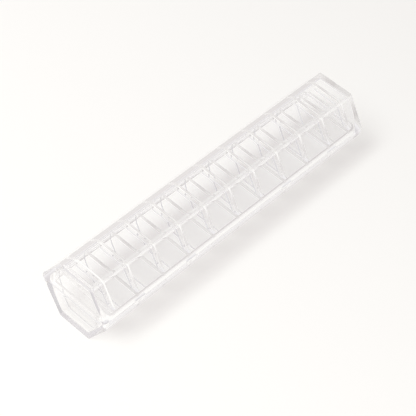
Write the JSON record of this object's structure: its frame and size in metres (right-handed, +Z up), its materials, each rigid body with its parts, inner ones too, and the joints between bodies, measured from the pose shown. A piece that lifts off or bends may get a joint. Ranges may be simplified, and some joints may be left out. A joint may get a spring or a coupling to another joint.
{
  "type": "bobbin storage box",
  "caption": "Long six-sided clear plastic box for thread bobbins, with a divided tray and a ribbed lid that lifts straight off.",
  "frame": {"origin": "centre of the box's underside, at rest on a table", "axes": "+X along the box, +Y across it, +Z up"},
  "size_m": [0.1222, 0.0276, 0.026],
  "materials": {
    "clear_polystyrene": "clear injection-moulded polystyrene, polished"
  },
  "bodies": {
    "tray": {"tray_shell": "clear_polystyrene", "divider_01": "clear_polystyrene", "divider_02": "clear_polystyrene", "divider_03": "clear_polystyrene", "divider_04": "clear_polystyrene", "divider_05": "clear_polystyrene", "divider_06": "clear_polystyrene", "divider_07": "clear_polystyrene", "divider_08": "clear_polystyrene", "divider_09": "clear_polystyrene", "divider_10": "clear_polystyrene", "divider_11": "clear_polystyrene"},
    "lid": {"lid_shell": "clear_polystyrene", "lid_rib_01": "clear_polystyrene", "lid_rib_02": "clear_polystyrene", "lid_rib_03": "clear_polystyrene", "lid_rib_04": "clear_polystyrene", "lid_rib_05": "clear_polystyrene", "lid_rib_06": "clear_polystyrene", "lid_rib_07": "clear_polystyrene", "lid_rib_08": "clear_polystyrene", "lid_rib_09": "clear_polystyrene", "lid_rib_10": "clear_polystyrene", "lid_rib_11": "clear_polystyrene"}
  },
  "joints": [
    {"name": "lid_lift", "type": "slide", "parent": "tray", "child": "lid", "axis": [0, 0, 1], "range_m": [0, 0.03]}
  ]
}
